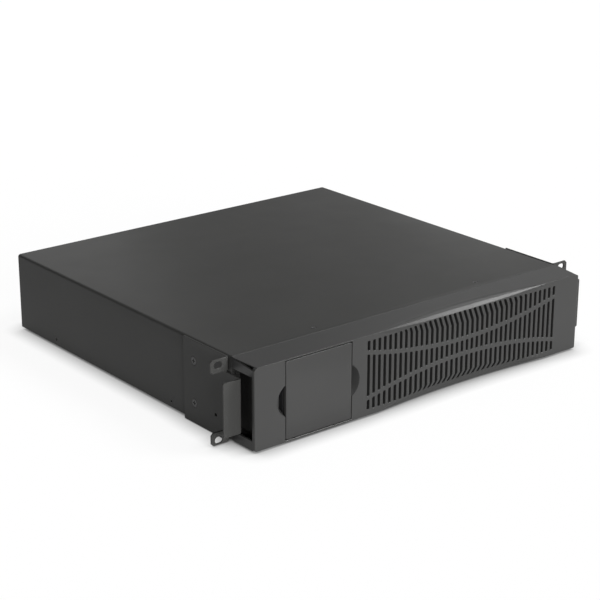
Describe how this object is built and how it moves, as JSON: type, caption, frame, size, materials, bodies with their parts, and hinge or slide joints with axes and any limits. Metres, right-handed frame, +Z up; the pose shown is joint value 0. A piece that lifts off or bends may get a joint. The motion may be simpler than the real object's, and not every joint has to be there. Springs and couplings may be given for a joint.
{
  "type": "uninterruptible power supply",
  "caption": "Rack-mount power supply case with slotted front bezel, square cover over a control panel, rack ears with handles, batteries, power board, fans and rear sockets.",
  "frame": {"origin": "middle of the lowest plane, under the rubber feet", "axes": "+X to the right seen from the front, +Y to the back, +Z up"},
  "size_m": [0.4826, 0.435, 0.088],
  "materials": {
    "powder_coat": "satin dark grey powder coat, fine texture",
    "bezel_plastic": "dark grey moulded plastic, fine spark texture",
    "black_plastic": "black moulded plastic",
    "zinc_steel": "zinc-plated steel",
    "screw_steel": "black zinc screws",
    "aluminium": "extruded aluminium",
    "rubber": "black rubber",
    "board": "green solder mask",
    "copper": "enamelled copper wire",
    "ferrite": "dark ferrite",
    "screen_glass": "dark display glass",
    "battery_case": "moulded battery case",
    "sleeve": "shrink sleeve",
    "button_grey": "grey button plastic"
  },
  "bodies": {
    "chassis": {"front_plate": "powder_coat", "battery_door": "powder_coat", "top_cover": "powder_coat", "rear_panel": "powder_coat", "rack_ear_left": "powder_coat", "rack_ear_right": "powder_coat", "comm_slot_cover": "powder_coat", "base_pan": "zinc_steel", "battery_tray": "zinc_steel", "door_screw_left": "zinc_steel", "door_screw_right": "zinc_steel", "fan_guard_left": "zinc_steel", "fan_guard_right": "zinc_steel", "cover_screw_left": "screw_steel", "cover_screw_right": "screw_steel", "ear_screw_left_lower": "screw_steel", "ear_screw_left_upper": "screw_steel", "ear_screw_right_lower": "screw_steel", "ear_screw_right_upper": "screw_steel", "relay_left": "black_plastic", "relay_right": "black_plastic", "fan_frame_left": "black_plastic", "fan_frame_right": "black_plastic", "power_inlet": "black_plastic", "breaker_body": "black_plastic", "outlet_bank_upper": "black_plastic", "outlet_bank_lower": "black_plastic", "outlet_large": "black_plastic", "signal_port_board": "black_plastic", "battery_connector": "black_plastic", "main_board": "board", "control_board": "board", "foot_front_left": "rubber", "foot_rear_left": "rubber", "foot_front_right": "rubber", "foot_rear_right": "rubber", "battery_front": "battery_case", "battery_middle": "battery_case", "battery_rear": "battery_case", "heat_sink_left": "aluminium", "heat_sink_right": "aluminium", "transformer_core": "ferrite", "transformer_coil": "copper", "output_choke": "copper", "bus_capacitor_1": "sleeve", "bus_capacitor_2": "sleeve", "bus_capacitor_3": "sleeve", "bus_capacitor_4": "sleeve"},
    "bezel": {"front_bezel": "bezel_plastic", "display_frame": "black_plastic", "display_screen": "screen_glass", "display_board": "board"},
    "cover": {"display_cover": "bezel_plastic"},
    "button_left": {"panel_button_left": "button_grey"},
    "button_middle": {"panel_button_middle": "button_grey"},
    "button_right": {"panel_button_right": "button_grey"},
    "rotor_left": {"fan_rotor_left": "black_plastic"},
    "rotor_right": {"fan_rotor_right": "black_plastic"},
    "breaker": {"breaker_button": "button_grey"}
  },
  "joints": [
    {"name": "bezel_pull", "type": "slide", "parent": "chassis", "child": "bezel", "axis": [0, -1, 0], "range_m": [0, 0.05]},
    {"name": "cover_pull", "type": "slide", "parent": "bezel", "child": "cover", "axis": [0, -1, 0], "range_m": [0, 0.03]},
    {"name": "button_left_press", "type": "slide", "parent": "bezel", "child": "button_left", "axis": [0, 1, 0], "range_m": [0, 0.001], "stiffness_N_per_m": 300},
    {"name": "button_middle_press", "type": "slide", "parent": "bezel", "child": "button_middle", "axis": [0, 1, 0], "range_m": [0, 0.001], "stiffness_N_per_m": 300},
    {"name": "button_right_press", "type": "slide", "parent": "bezel", "child": "button_right", "axis": [0, 1, 0], "range_m": [0, 0.001], "stiffness_N_per_m": 300},
    {"name": "fan_left_spin", "type": "hinge", "parent": "chassis", "child": "rotor_left", "pos_m": [0.08, 0.1975, 0.0455], "axis": [0, 1, 0], "continuous": true},
    {"name": "fan_right_spin", "type": "hinge", "parent": "chassis", "child": "rotor_right", "pos_m": [0.165, 0.1975, 0.0455], "axis": [0, 1, 0], "continuous": true},
    {"name": "breaker_reset", "type": "slide", "parent": "chassis", "child": "breaker", "axis": [0, 1, 0], "range_m": [0, 0.005]}
  ]
}
